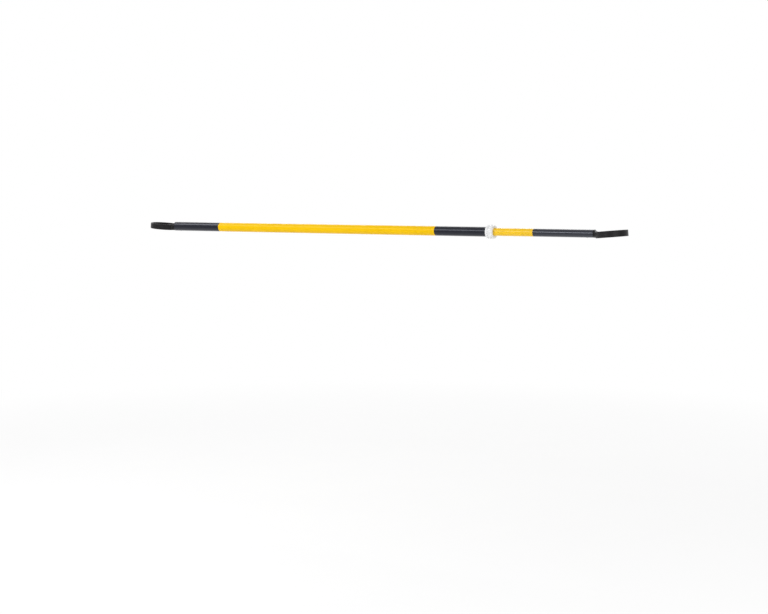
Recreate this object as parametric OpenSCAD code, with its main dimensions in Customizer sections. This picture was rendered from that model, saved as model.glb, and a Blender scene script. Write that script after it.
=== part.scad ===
// Telescopic cone bar: a striped inner tube slides in a striped outer tube, a white
// twist nut clamps it at any length, and a moulded ring at each end drops over a cone.
// +X runs along the bar from the left ring to the right ring, +Z is up, and the
// origin is the centre of the left ring's bore. Sizes are in millimetres.

/* [Rings] */
// Bore of each ring
ring_bore_d = 73; // [60:0.5:100]
// Thickness of the ring's band
ring_wall = 3.5; // [2.5:0.1:6]
// Height of the ring's band
ring_h = 16; // [12:0.5:30]
// Rounding of the band's edges
ring_edge_r = 1.1; // [0.4:0.1:1.2]
// How far each ring leans, outer end up, in degrees
ring_cant = 5; // [0:0.5:8]
// Gap between the band and the tube's end
neck_len = 7; // [5:0.5:20]
// Width of the neck where it flares into the band
neck_flare_w = 24; // [20:1:30]
// Diameter of the neck at its flange
neck_d = 22; // [12:0.5:23]
// Thickness of the flange that closes the tube's end
flange_t = 2.4; // [1.5:0.1:4]

/* [Ring shanks] */
// Length of the barbed shank inside the tube
shank_len = 36; // [26:1:60]
// Wall of the hollow shank
shank_wall = 3; // [2:0.1:4]
// Number of barbs on the shank
shank_barbs = 4; // [2:1:6]
// Depth of a barb
barb_depth = 0.5; // [0.2:0.05:0.8]

/* [Outer tube] */
// Length of the outer steel tube
outer_len = 1055; // [800:1:1500]
// Outside diameter of the outer steel tube
outer_d = 24; // [23.6:0.1:32]
// Wall of the outer steel tube
outer_wall = 0.6; // [0.4:0.05:0.7]

/* [Inner tube] */
// Length of the inner steel tube
inner_len = 960; // [700:1:1000]
// Outside diameter of the inner steel tube
inner_d = 18.8; // [15:0.1:19.2]
// Wall of the inner steel tube
inner_wall = 0.6; // [0.4:0.05:1]
// How far the inner tube stands out of the outer tube
drawn_out = 287; // [60:1:850]

/* [Striped film] */
// Thickness of the plastic film on both tubes
film_t = 0.6; // [0.3:0.05:0.7]
// Black band on the outer tube beside the left ring
tail_band = 166; // [60:0.5:300]
// Black band on the outer tube at its mouth
mouth_band = 166; // [60:0.5:300]
// Black band on the inner tube beside the right ring
end_band = 166; // [60:0.5:300]

/* [Lock] */
// How far the fixed collar reaches back over the outer tube
collar_back = 11.5; // [8:0.5:20]
// Width of the fixed collar
collar_w = 7; // [4:0.5:7]
// Wall of the threaded sleeve on the outer tube
sleeve_wall = 2.2; // [1.6:0.1:4]
// Wall of the twist nut outside its thread
nut_wall = 2.1; // [1.8:0.1:6]
// Height of the grip ribs above the nut
rib_h = 0.75; // [0.4:0.05:1.2]
// Number of grip ribs round the nut
rib_count = 28; // [12:1:30]
// How far the fixed collar's rim stays below the nut's
collar_step = 0.5; // [0.2:0.1:1]
// Thickness of the nut's front wall
nut_face = 3; // [2:0.1:5]
// Depth of the cone that closes the collet
seat_depth = 3.2; // [2.5:0.1:6]
// Half angle of that cone, in degrees
seat_angle = 24; // [12:1:30]
// Thickness of the collet's head
collet_head = 2.2; // [1.5:0.1:4]
// Wall of the collet at its thin nose
collet_nose = 0.9; // [0.6:0.1:1.2]
// How far the collet's head stands out round its cone
collet_lip = 0.8; // [0.4:0.1:1]
// Width of the collet's slots
collet_slot = 1.4; // [0.8:0.1:2]
// Number of the collet's slots
collet_slots = 6; // [4:1:8]
// How deep the guide sleeve reaches into the outer tube
sleeve_depth = 30; // [20:1:60]

/* [Inner end guide] */
// Length of the guide bush
guide_len = 14; // [8:0.5:30]
// Diameter of the journal that the guide bush turns on
journal_d = 11; // [8:0.5:12]
// Thickness of the guide plug's head
plug_head = 3; // [2:0.5:6]
// Length of the guide plug's shank in the inner tube
plug_shank = 28; // [16:1:50]
// Number of air grooves round the guide bush
air_grooves = 6; // [4:1:8]
// Radius of an air groove
air_groove_r = 1.3; // [0.8:0.1:1.5]

/* [Fasteners] */
// Diameter of the rivet's shank
rivet_d = 3.2; // [2.4:0.1:4]
// Diameter of the rivet's head
rivet_head_d = 6.4; // [5:0.1:8]
// Diameter of the rivet's set tail
rivet_tail_d = 4.8; // [4.2:0.1:5.5]
// Height of the rivet's head
rivet_head_h = 1.2; // [0.8:0.1:2]
// Distance from the tube's end to the rivet
rivet_inset = 18; // [10:1:22]
// Diameter of the screw in the fixed collar
screw_d = 2.9; // [2:0.1:3.2]
// Diameter of that screw's head
screw_head_d = 5; // [4:0.1:5.5]
// Diameter of the guide plug's cross pin
pin_d = 3; // [2:0.1:4]

/* [Clearances] */
// Radial gap of a shank pressed into a tube
press_gap = 0.02; // [0.01:0.01:0.1]
// Radial gap of the inner tube in its guides
slide_gap = 0.15; // [0.1:0.01:0.3]
// Radial gap of a turning pair
turn_gap = 0.05; // [0.02:0.01:0.1]
// Gap between the two halves of a thread
thread_gap = 0.15; // [0.1:0.01:0.4]
// Gap between faces that pass each other
face_gap = 0.3; // [0.1:0.05:0.6]

/* [Hidden] */
$fn = 96;
cut = 1;              // how far a cutter runs past a face
blend_fn = 32;        // facets of the neck's blend
edge_c = 0.6;         // chamfer on turned edges

// Radii that follow from the tubes
outer_r = outer_d / 2;
outer_bore_r = outer_r - outer_wall;
outer_film_r = outer_r + film_t;
inner_r = inner_d / 2;
inner_bore_r = inner_r - inner_wall;
inner_film_r = inner_r + film_t;
ring_bore_r = ring_bore_d / 2;
ring_r = ring_bore_r + ring_wall;

// Places along the bar
tail_x = ring_r + neck_len;
mouth_x = tail_x + outer_len;
end_x = mouth_x + drawn_out;
ring_span = end_x + neck_len + ring_r;
guide_x = end_x - inner_len;
plug_x = guide_x - guide_len - 2 * turn_gap - plug_head;

// Lock, from the mouth of the outer tube
sleeve_bore_r = outer_film_r + press_gap;
thread_r = sleeve_bore_r + sleeve_wall;
collar_x = mouth_x - collar_back;
nut_x = collar_x + collar_w + face_gap;
seat_x = mouth_x + seat_depth;
collet_bore_r = inner_film_r + slide_gap;
seat_root = 0.4;      // flat left at the small end of the seat
seat_root_r = collet_bore_r + collet_nose + turn_gap;
seat_mouth_r = seat_root_r + (seat_depth - seat_root) * tan(seat_angle);
collet_head_r = seat_mouth_r + collet_lip;
collet_head_x = seat_x + face_gap;
nut_face_x = collet_head_x + collet_head + turn_gap;
nut_end_x = nut_face_x + nut_face;
nut_bore_r = thread_r + thread_gap;
nut_root_r = nut_bore_r + nut_wall;
nut_r = nut_root_r + rib_h;
collar_r = nut_r - collar_step;
screw_top = sqrt(pow(collar_r, 2) - pow(screw_head_d / 2, 2));
screw_sink = (screw_head_d - screw_d) / 2;

// Turns a solid made along Z so that it lies along the bar, starting at x
module along_bar(x) translate([x, 0, 0]) rotate([0, 90, 0]) children();

// Right-hand copy of what is made for the left end
module at_right_end() translate([ring_span, 0, 0]) rotate([0, 0, 180]) children();

// Solid of revolution about the bar; points are [radius, place along the bar]
module turned(points) along_bar(0) rotate_extrude() polygon(points);

// Plain sleeve about the bar
module sleeve(x0, x1, r_out, r_in) turned([[r_in, x0], [r_out, x0], [r_out, x1], [r_in, x1]]);

// Hole for a rivet that comes up from the underside of the left end
module rivet_hole() translate([tail_x + rivet_inset, 0, 0]) mirror([0, 0, 1])
    cylinder(h = outer_film_r + cut, d = rivet_d + 2 * press_gap);

// Rectangle with round corners, centred on the origin
module round_bar(w, h, r) {
    square([w - 2 * r, h], center = true);
    square([w, h - 2 * r], center = true);
    for (sx = [-1, 1], sy = [-1, 1])
        translate([sx * (w / 2 - r), sy * (h / 2 - r)]) circle(r);
}

// Flange, then a hollow shank with barbs that grip the tube's bore
module barbed_shank(bore_r, film_r) {
    tip_r = bore_r - press_gap;
    root_r = tip_r - barb_depth;
    core_r = tip_r - shank_wall;
    pitch = (shank_len - 2 * edge_c) / shank_barbs;
    barbs = [for (i = [0 : shank_barbs - 1])
        each [[tip_r, tail_x + i * pitch + pitch / 2], [root_r, tail_x + (i + 1) * pitch]]];
    difference() {
        turned(concat(
            [[0, tail_x - flange_t], [film_r - edge_c, tail_x - flange_t]],
            [[film_r, tail_x - flange_t + edge_c], [film_r, tail_x], [tip_r, tail_x]],
            barbs,
            [[root_r - edge_c, tail_x + shank_len], [0, tail_x + shank_len]]
        ));
        along_bar(tail_x) cylinder(h = shank_len + cut, r = core_r);
    }
}

// One moulded ring for the left end: leaning band, flared neck, flange and barbed shank
module ring_fitting(bore_r, film_r) {
    neck_r = min(neck_d / 2, film_r - edge_c);
    difference() {
        union() {
            rotate([0, ring_cant, 0]) rotate_extrude()
                translate([ring_bore_r + ring_wall / 2, 0]) round_bar(ring_wall, ring_h, ring_edge_r);
            barbed_shank(bore_r, film_r);
            hull() {
                along_bar(tail_x - flange_t) cylinder(h = flange_t / 2, r = neck_r, $fn = blend_fn);
                rotate([0, ring_cant, 0]) translate([ring_bore_r + ring_wall / 2, 0, 0])
                    cube([ring_wall / 2, neck_flare_w, ring_h - ring_edge_r], center = true);
            }
        }
        rivet_hole();
    }
}

// Blind rivet at the left end: domed head on the film, set tail inside the hollow shank
module blind_rivet(bore_r, film_r) {
    head_r = rivet_head_d / 2;
    tail_r = rivet_tail_d / 2;
    tail_top = sqrt(pow(bore_r - press_gap - shank_wall, 2) - pow(tail_r, 2)) - press_gap;
    tail_t = rivet_d / 2;
    dome_r = (pow(head_r, 2) + pow(rivet_head_h, 2)) / (2 * rivet_head_h);
    translate([tail_x + rivet_inset, 0, 0]) mirror([0, 0, 1]) rotate_extrude() {
        intersection() {
            translate([0, film_r + rivet_head_h - dome_r]) circle(dome_r);
            translate([0, film_r]) square([head_r, rivet_head_h]);
        }
        translate([0, tail_top]) square([rivet_d / 2, film_r - tail_top]);
        translate([0, tail_top - tail_t]) square([tail_r, tail_t]);
    }
}

// Hole and countersink for the screw that pins the bush to the outer tube, from the underside
module screw_hole() translate([collar_x + collar_w / 2, 0, 0]) mirror([0, 0, 1]) rotate_extrude() polygon([
    [0, collet_bore_r - cut],
    [screw_d / 2 + press_gap, collet_bore_r - cut],
    [screw_d / 2 + press_gap, screw_top - screw_sink],
    [screw_head_d / 2 + press_gap, screw_top],
    [screw_head_d / 2 + press_gap, collar_r + cut],
    [0, collar_r + cut]
]);

// Hole for the cross pin that holds the guide plug in the inner tube
module pin_hole() translate([guide_x + plug_shank / 2, 0, 0])
    cylinder(h = 2 * inner_film_r + cut, d = pin_d + 2 * press_gap, center = true);

module outer_tube() color("silver") difference() {
    sleeve(tail_x, mouth_x, outer_r, outer_bore_r);
    rivet_hole();
    screw_hole();
}

module outer_film_black_tail() color("#26272b") difference() {
    sleeve(tail_x, tail_x + tail_band, outer_film_r, outer_r);
    rivet_hole();
}

module outer_film_yellow() color("#fcd116")
    sleeve(tail_x + tail_band, mouth_x - mouth_band, outer_film_r, outer_r);

module outer_film_black_mouth() color("#26272b") difference() {
    sleeve(mouth_x - mouth_band, mouth_x, outer_film_r, outer_r);
    screw_hole();
}

module left_ring() color("#1f1e20") ring_fitting(outer_bore_r, outer_film_r);

module left_ring_rivet() color("gainsboro") blind_rivet(outer_bore_r, outer_film_r);

// Cap on the outer tube's mouth: guide sleeve inside, collar and thread outside, cone in front
module lock_bush() color("#eef1ee") difference() {
    turned([
        [collet_bore_r, mouth_x - sleeve_depth],
        [outer_bore_r - press_gap - edge_c, mouth_x - sleeve_depth],
        [outer_bore_r - press_gap, mouth_x - sleeve_depth + edge_c],
        [outer_bore_r - press_gap, mouth_x],
        [sleeve_bore_r, mouth_x],
        [sleeve_bore_r, collar_x],
        [collar_r - edge_c, collar_x],
        [collar_r, collar_x + edge_c],
        [collar_r, collar_x + collar_w - edge_c],
        [collar_r - edge_c, collar_x + collar_w],
        [thread_r, collar_x + collar_w],
        [thread_r, seat_x - edge_c],
        [thread_r - edge_c, seat_x],
        [seat_mouth_r, seat_x],
        [seat_root_r, mouth_x + seat_root],
        [collet_bore_r, mouth_x + seat_root]
    ]);
    screw_hole();
}

// Countersunk screw that keeps the bush from turning on the outer tube
module lock_bush_screw() color("gainsboro")
    translate([collar_x + collar_w / 2, 0, 0]) mirror([0, 0, 1]) rotate_extrude() polygon([
        [0, collet_bore_r + face_gap],
        [screw_d / 2 - edge_c, collet_bore_r + face_gap],
        [screw_d / 2, collet_bore_r + face_gap + edge_c],
        [screw_d / 2, screw_top - screw_sink],
        [screw_head_d / 2, screw_top],
        [0, screw_top]
    ]);

// Split cone that the nut drives into the bush so that it grips the inner tube
module lock_collet() color("#d9dcd6") difference() {
    turned([
        [collet_bore_r, mouth_x + seat_root + face_gap],
        [seat_root_r - turn_gap, mouth_x + seat_root + face_gap],
        [seat_mouth_r - turn_gap, seat_x + face_gap],
        [collet_head_r, collet_head_x],
        [collet_head_r, collet_head_x + collet_head],
        [collet_bore_r, collet_head_x + collet_head]
    ]);
    for (i = [0 : collet_slots - 1]) {
        slot_end_x = i == 0 ? nut_face_x : collet_head_x;
        rotate([i * 360 / collet_slots, 0, 0]) translate([mouth_x, -collet_slot / 2, 0])
            cube([slot_end_x - mouth_x, collet_slot, collet_head_r + cut]);
    }
}

module lock_nut() color("#f2f4f2") difference() {
    union() {
        turned([
            [inner_film_r + slide_gap, nut_x],
            [nut_root_r - edge_c, nut_x],
            [nut_root_r, nut_x + edge_c],
            [nut_root_r, nut_end_x - nut_face / 2],
            [nut_root_r - nut_face / 2, nut_end_x],
            [inner_film_r + slide_gap, nut_end_x]
        ]);
        for (i = [0 : rib_count - 1]) rotate([i * 360 / rib_count, 0, 0])
            translate([0, 0, nut_root_r]) along_bar(nut_x + edge_c)
                cylinder(h = nut_face_x - nut_x - edge_c, r = rib_h, $fn = blend_fn);
    }
    along_bar(nut_x - cut) cylinder(h = nut_face_x - nut_x + cut, r = nut_bore_r);
    along_bar(nut_face_x) cylinder(h = nut_face + cut, r = inner_film_r + face_gap);
}

module inner_tube() color("silver") difference() {
    sleeve(guide_x, end_x, inner_r, inner_bore_r);
    at_right_end() rivet_hole();
    pin_hole();
}

module inner_film_yellow() color("#fcd116") difference() {
    sleeve(guide_x, end_x - end_band, inner_film_r, inner_r);
    pin_hole();
}

module inner_film_black_end() color("#26272b") difference() {
    sleeve(end_x - end_band, end_x, inner_film_r, inner_r);
    at_right_end() rivet_hole();
}

module right_ring() color("#1f1e20") at_right_end() ring_fitting(inner_bore_r, inner_film_r);

module right_ring_rivet() color("gainsboro") at_right_end() blind_rivet(inner_bore_r, inner_film_r);

// Plug in the inner tube's hidden end, with the journal that the guide bush turns on
module guide_plug() color("#d9dcd6") difference() {
    turned([
        [0, plug_x],
        [inner_r - edge_c, plug_x],
        [inner_r, plug_x + edge_c],
        [inner_r, plug_x + plug_head],
        [journal_d / 2, plug_x + plug_head],
        [journal_d / 2, guide_x],
        [inner_bore_r - press_gap, guide_x],
        [inner_bore_r - press_gap, guide_x + plug_shank - edge_c],
        [inner_bore_r - press_gap - edge_c, guide_x + plug_shank],
        [0, guide_x + plug_shank]
    ]);
    pin_hole();
}

// Cross pin through the inner tube and the plug, flush with the film
module guide_plug_pin() color("gainsboro") translate([guide_x + plug_shank / 2, 0, 0])
    cylinder(h = 2 * sqrt(pow(inner_film_r, 2) - pow(pin_d / 2, 2)), d = pin_d, center = true);

// Grooved bush that runs in the outer tube and meets the guide sleeve at full length
module guide_bush() color("#e8e6dc") {
    bush_r = outer_bore_r - slide_gap;
    x0 = guide_x - guide_len - turn_gap;
    x1 = guide_x - turn_gap;
    difference() {
        turned([
            [journal_d / 2 + turn_gap, x0],
            [bush_r - edge_c, x0],
            [bush_r, x0 + edge_c],
            [bush_r, x1 - edge_c],
            [bush_r - edge_c, x1],
            [journal_d / 2 + turn_gap, x1]
        ]);
        for (i = [0 : air_grooves - 1]) rotate([i * 360 / air_grooves, 0, 0])
            translate([0, 0, bush_r]) along_bar(x0 - cut)
                cylinder(h = guide_len + 2 * cut, r = air_groove_r, $fn = blend_fn);
    }
}

outer_tube();
outer_film_black_tail();
outer_film_yellow();
outer_film_black_mouth();
left_ring();
left_ring_rivet();
lock_bush();
lock_bush_screw();
lock_collet();
lock_nut();
inner_tube();
inner_film_yellow();
inner_film_black_end();
right_ring();
right_ring_rivet();
guide_plug();
guide_plug_pin();
guide_bush();
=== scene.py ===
import math
from contextlib import contextmanager
import bpy
import bmesh
from mathutils import Matrix, Quaternion, Vector


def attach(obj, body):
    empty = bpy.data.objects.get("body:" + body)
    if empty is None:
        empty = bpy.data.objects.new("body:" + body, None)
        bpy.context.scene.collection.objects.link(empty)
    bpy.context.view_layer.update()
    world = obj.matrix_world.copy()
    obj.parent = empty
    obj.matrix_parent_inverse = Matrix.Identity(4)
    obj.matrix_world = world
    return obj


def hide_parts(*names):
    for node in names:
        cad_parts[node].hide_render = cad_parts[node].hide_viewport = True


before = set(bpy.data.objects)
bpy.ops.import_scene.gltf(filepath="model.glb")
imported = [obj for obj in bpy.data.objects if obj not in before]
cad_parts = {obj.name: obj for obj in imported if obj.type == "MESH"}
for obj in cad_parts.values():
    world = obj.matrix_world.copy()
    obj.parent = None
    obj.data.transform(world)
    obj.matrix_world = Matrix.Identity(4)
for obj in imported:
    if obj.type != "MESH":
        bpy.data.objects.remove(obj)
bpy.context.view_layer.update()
scene = bpy.context.scene
scene.view_settings.view_transform = "Standard"
mm = 0.001  # the piece dictionaries below are in millimetres
fullTurn = 2 * math.pi
pureWhite = (1, 1, 1, 1)
alongBar = Matrix.Rotation(math.radians(90), 4, "Y")  # a shape turned about Z then lies along the bar


# small helpers for objects and meshes

def place(name, data):
    thing = bpy.data.objects.new(name, data)
    scene.collection.objects.link(thing)
    return thing


def aim(thing, look, roll=0):
    thing.rotation_mode = "QUATERNION"
    thing.rotation_quaternion = look.to_track_quat("-Z", "Y") @ Quaternion((0, 0, 1), math.radians(roll))


@contextmanager
def editing(mesh):
    work = bmesh.new()
    work.from_mesh(mesh)
    yield work
    work.to_mesh(mesh)
    work.free()


def halfTurn(x, axis):  # half a turn about an axis, then a move along the bar
    return Matrix.Translation((x * mm, 0, 0)) @ Matrix.Rotation(math.pi, 4, axis)


# small helpers for node trees, used for shapes and for finishes

number, whole, vector, colour = "NodeSocketFloat", "NodeSocketInt", "NodeSocketVector", "NodeSocketColor"
shape, finishSocket = "NodeSocketGeometry", "NodeSocketMaterial"


def putNode(tree, kind, feeds=None, **settings):
    node = tree.nodes.new(kind)
    for key, value in settings.items():
        setattr(node, key, value)
    for key, value in (feeds or {}).items():
        if isinstance(value, bpy.types.NodeSocket):
            tree.links.new(value, node.inputs[key])
        else:
            node.inputs[key].default_value = value
    return node


def calc(tree, operation, *terms):
    return putNode(tree, "ShaderNodeMath", dict(enumerate(terms)), operation=operation).outputs[0]


def product(tree, first, *others):
    for term in others:
        first = calc(tree, "MULTIPLY", first, term)
    return first


def ramp(tree, value, low, high, toLow=0.0, toHigh=1.0):  # smooth step between two values
    feeds = {0: value, 1: low, 2: high, 3: toLow, 4: toHigh}
    return putNode(tree, "ShaderNodeMapRange", feeds, interpolation_type="SMOOTHSTEP").outputs[0]


def noise(tree, coords, scale, detail, roughness=0.5):
    feeds = {"Vector": coords, "Scale": scale, "Detail": detail, "Roughness": roughness}
    return putNode(tree, "ShaderNodeTexNoise", feeds).outputs["Fac"]


def openTree(name, kind, inputs, outputs):
    tree = bpy.data.node_groups.new(name, kind)
    for label, socketType, value in inputs:
        socket = tree.interface.new_socket(name=label, in_out="INPUT", socket_type=socketType)
        if value is not None:
            socket.default_value = value
    for label, socketType in outputs:
        tree.interface.new_socket(name=label, in_out="OUTPUT", socket_type=socketType)
    return tree, tree.nodes.new("NodeGroupInput").outputs, tree.nodes.new("NodeGroupOutput").inputs


# camera at the photo's place

photoView = {
    "eye": (2.9948, -3.4211, 0.1118), "heading": (-0.5447, 0.8387), "pitch": -4.468,
    "lens": 71.37, "sensor": 36,
}


def placeCamera(view):
    tilt = math.radians(view["pitch"])
    lens = bpy.data.cameras.new("photoCamera")
    lens.lens, lens.sensor_width, lens.sensor_fit = view["lens"], view["sensor"], "HORIZONTAL"
    camera = place("photoCamera", lens)
    camera.location = view["eye"]
    aim(camera, Vector([part * math.cos(tilt) for part in view["heading"]] + [math.sin(tilt)]))
    scene.camera = camera


placeCamera(photoView)
print("camera placed")


# white studio: a round pale floor that fades into a white surround, a slanting strip in front,
# softboxes beside and behind, and a card on the floor

studio = {
    "middle": (0.718, 0.0, 0.0), "floor": (0.718, 0.0, -0.701), "floorRadius": 12, "floorSides": 128,
    "floorTone": (0.926, 0.934), "speckScale": 5.0, "speckDetail": 4.0, "speckRange": (0.3, 0.7),
    "fadeFrom": 0.6, "fadeTo": 2.4, "glow": 0.5, "skyFill": 0.38,
    "boxes": [
        {"name": "frontStrip", "place": (-0.2, -1.5, 0.93), "size": (3.4, 0.45), "power": 33, "roll": -22},
        {"name": "sideBox", "place": (3.2, -1.6, 1.0), "size": (1.5, 1.5), "power": 25, "roll": 0},
        {"name": "backBox", "place": (0.718, 1.9, 1.4), "size": (5.0, 0.8), "power": 42, "roll": 0},
        {"name": "floorCard", "place": (0.718, 0.0, -0.69), "size": (4.0, 3.0), "power": 20, "roll": 0,
         "sheenOnly": True},
    ],
}


def seenDirectly(tree):  # camera, mirror and glass rays meet the white surround
    path = putNode(tree, "ShaderNodeLightPath").outputs
    both = calc(tree, "MAXIMUM", path["Is Camera Ray"], path["Is Glossy Ray"])
    return calc(tree, "MAXIMUM", both, path["Is Transmission Ray"])


def mixShaders(tree, share, low, high):
    return putNode(tree, "ShaderNodeMixShader", {0: share, 1: low, 2: high}).outputs[0]


def makeFloorFinish(room):
    finish = bpy.data.materials.new("paleFloor")
    finish.use_nodes = True
    tree = finish.node_tree
    tree.nodes.clear()
    coords = putNode(tree, "ShaderNodeTexCoord").outputs["Object"]
    away = putNode(tree, "ShaderNodeVectorMath", {0: coords, 1: room["floor"]},
                   operation="DISTANCE").outputs["Value"]
    fade = ramp(tree, away, room["fadeFrom"], room["fadeTo"], room["glow"], 1.0)
    fade = calc(tree, "MULTIPLY", fade, seenDirectly(tree))
    speck = noise(tree, coords, room["speckScale"], room["speckDetail"])
    tone = ramp(tree, speck, *room["speckRange"], *room["floorTone"])
    paint = putNode(tree, "ShaderNodeBsdfDiffuse", {"Color": tone}).outputs[0]
    white = putNode(tree, "ShaderNodeEmission", {"Color": pureWhite, "Strength": 1.0}).outputs[0]
    clear = putNode(tree, "ShaderNodeBsdfTransparent").outputs[0]  # open when looked at from below
    below = putNode(tree, "ShaderNodeNewGeometry").outputs["Backfacing"]
    both = mixShaders(tree, below, mixShaders(tree, fade, paint, white), clear)
    putNode(tree, "ShaderNodeOutputMaterial", {"Surface": both})
    return finish


def makeFloor(room):
    mesh = bpy.data.meshes.new("studioFloor")
    with editing(mesh) as disc:
        bmesh.ops.create_circle(disc, cap_ends=True, segments=room["floorSides"], radius=room["floorRadius"],
                                matrix=Matrix.Translation(room["floor"]))
    mesh.materials.append(makeFloorFinish(room))
    place("studioFloor", mesh)


def makeLamps(room):
    for box in room["boxes"]:
        lamp = bpy.data.lights.new(box["name"], "AREA")
        lamp.shape, lamp.size, lamp.size_y, lamp.energy = "RECTANGLE", *box["size"], box["power"]
        holder = place(box["name"], lamp)
        holder.location = box["place"]
        aim(holder, Vector(room["middle"]) - Vector(box["place"]), box["roll"])
        if box.get("sheenOnly"):  # shows in the gloss of the pieces alone
            holder.visible_camera = False
            holder.visible_diffuse = False
            holder.visible_transmission = False


def makeSky(room):
    sky = bpy.data.worlds.new("whiteSurround")
    sky.use_nodes = True
    tree = sky.node_tree
    tree.nodes.clear()
    fill = putNode(tree, "ShaderNodeBackground", {0: pureWhite, 1: room["skyFill"]}).outputs[0]
    white = putNode(tree, "ShaderNodeBackground", {0: pureWhite, 1: 1.0}).outputs[0]
    putNode(tree, "ShaderNodeOutputWorld", {"Surface": mixShaders(tree, seenDirectly(tree), fill, white)})
    scene.world = sky


makeFloor(studio)
makeLamps(studio)
makeSky(studio)
print("studio lit")


# effects that several finishes share

def makeLengthScuffs():  # fine scratches that run along the bar, in patches
    tree, given, put = openTree("lengthScuffs", "ShaderNodeTree", [
        ("Coordinates", vector, None), ("Along", number, 25.0), ("Across", number, 3200.0),
        ("Rarity", number, 0.62), ("Fade", number, 0.07), ("Detail", number, 2.0), ("Patches", number, 13.0),
        ("Patch Low", number, 0.42), ("Patch High", number, 0.66), ("Patch Detail", number, 3.0)],
        [("Marks", number)])
    spread = {0: given["Along"], 1: given["Across"], 2: given["Across"]}
    stretch = putNode(tree, "ShaderNodeCombineXYZ", spread).outputs[0]
    drawn = putNode(tree, "ShaderNodeVectorMath", {0: given["Coordinates"], 1: stretch},
                    operation="MULTIPLY").outputs[0]
    lines = noise(tree, drawn, 1.0, given["Detail"])
    sharp = ramp(tree, lines, given["Rarity"], calc(tree, "ADD", given["Rarity"], given["Fade"]))
    patch = noise(tree, given["Coordinates"], given["Patches"], given["Patch Detail"])
    patch = ramp(tree, patch, given["Patch Low"], given["Patch High"])
    tree.links.new(calc(tree, "MULTIPLY", sharp, patch), put["Marks"])
    return tree


def makeToneDrift():  # slow and fine drift of a colour over the surface
    tree, given, put = openTree("toneDrift", "ShaderNodeTree", [
        ("Coordinates", vector, None), ("Tone", colour, None), ("Drift", number, 0.05),
        ("Scale", number, 20.0), ("Slow Share", number, 1.3), ("Slow Detail", number, 2.0),
        ("Fineness", number, 23.0), ("Fine Share", number, 0.7), ("Fine Detail", number, 3.0)],
        [("Color", colour)])
    slow = noise(tree, given["Coordinates"], given["Scale"], given["Slow Detail"])
    fineScale = calc(tree, "MULTIPLY", given["Scale"], given["Fineness"])
    fine = noise(tree, given["Coordinates"], fineScale, given["Fine Detail"])
    both = calc(tree, "ADD", calc(tree, "MULTIPLY", slow, given["Slow Share"]),
                calc(tree, "MULTIPLY", fine, given["Fine Share"]))
    gain = calc(tree, "MULTIPLY_ADD", calc(tree, "SUBTRACT", both, 1.0), given["Drift"], 1.0)
    scaled = putNode(tree, "ShaderNodeVectorMath", {0: given["Tone"], "Scale": gain}, operation="SCALE")
    tree.links.new(scaled.outputs[0], put["Color"])
    return tree


def makeMouldGrain():  # fine pebbling of a moulded or extruded skin
    tree, given, put = openTree("mouldGrain", "ShaderNodeTree", [
        ("Coordinates", vector, None), ("Grain", number, 2500.0), ("Grain Detail", number, 2.0),
        ("Ripple", number, 180.0), ("Ripple Detail", number, 1.0), ("Ripple Share", number, 1.6)],
        [("Height", number), ("Sheen", number)])
    fine = noise(tree, given["Coordinates"], given["Grain"], given["Grain Detail"])
    broad = noise(tree, given["Coordinates"], given["Ripple"], given["Ripple Detail"])
    tree.links.new(calc(tree, "MULTIPLY_ADD", broad, given["Ripple Share"], fine), put["Height"])
    tree.links.new(calc(tree, "SUBTRACT", calc(tree, "ADD", broad, fine), 1.0), put["Sheen"])
    return tree


def makeSettledDirtAndShade():  # faint dirt in patches, thicker where a nook holds it; on the lock collar the nook also holds painted shade behind the nut
    tree, given, put = openTree("settledDirtAndShade", "ShaderNodeTree", [
        ("Coordinates", vector, None), ("Nook", number, 0.0), ("Spread", number, 30.0),
        ("Cloud Detail", number, 6.0), ("Cloud Roughness", number, 0.65), ("Cloud Low", number, 0.45),
        ("Cloud High", number, 0.72), ("Speck", number, 1400.0), ("Speck Detail", number, 1.0),
        ("Speck Low", number, 0.5), ("Speck High", number, 0.68), ("Held Low", number, 0.3),
        ("Held High", number, 0.6)], [("Mask", number)])
    cloud = noise(tree, given["Coordinates"], given["Spread"], given["Cloud Detail"],
                  given["Cloud Roughness"])
    speck = noise(tree, given["Coordinates"], given["Speck"], given["Speck Detail"])
    loose = calc(tree, "MULTIPLY", ramp(tree, cloud, given["Cloud Low"], given["Cloud High"]),
                 ramp(tree, speck, given["Speck Low"], given["Speck High"]))
    held = calc(tree, "MULTIPLY", given["Nook"], ramp(tree, cloud, given["Held Low"], given["Held High"]))
    tree.links.new(calc(tree, "MAXIMUM", loose, held), put["Mask"])
    return tree


lengthScuffs = makeLengthScuffs()
toneDrift = makeToneDrift()
mouldGrain = makeMouldGrain()
settledDirtAndShade = makeSettledDirtAndShade()


def placeGroup(tree, group, feeds):
    return putNode(tree, "ShaderNodeGroup", feeds, node_tree=group).outputs


def blendTones(tree, mask, low, high):
    return putNode(tree, "ShaderNodeMix", {0: mask, 6: low, 7: high}, data_type="RGBA").outputs[2]


def openFinish(name, constants):
    finish = bpy.data.materials.new(name)
    finish.use_nodes = True
    tree = finish.node_tree
    skin = tree.nodes["Principled BSDF"].inputs
    for label, value in constants.items():
        skin[label].default_value = value
    return finish, tree, skin, putNode(tree, "ShaderNodeTexCoord").outputs["Object"]


def driftingTone(tree, coords, look):
    feeds = {"Coordinates": coords, "Tone": look["tone"], "Drift": look["drift"], "Scale": look["driftScale"]}
    return placeGroup(tree, toneDrift, feeds)["Color"]


def scuffMarks(tree, coords, look):
    feeds = {"Coordinates": coords, "Along": look["along"], "Across": look["across"],
             "Rarity": look["rarity"], "Patches": look["patches"]}
    return placeGroup(tree, lengthScuffs, feeds)["Marks"]


def dirtAndShadeMask(tree, coords, look, nook):
    feeds = {"Coordinates": coords, "Nook": nook, "Spread": look["dirtSpread"]}
    return placeGroup(tree, settledDirtAndShade, feeds)["Mask"]


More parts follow.
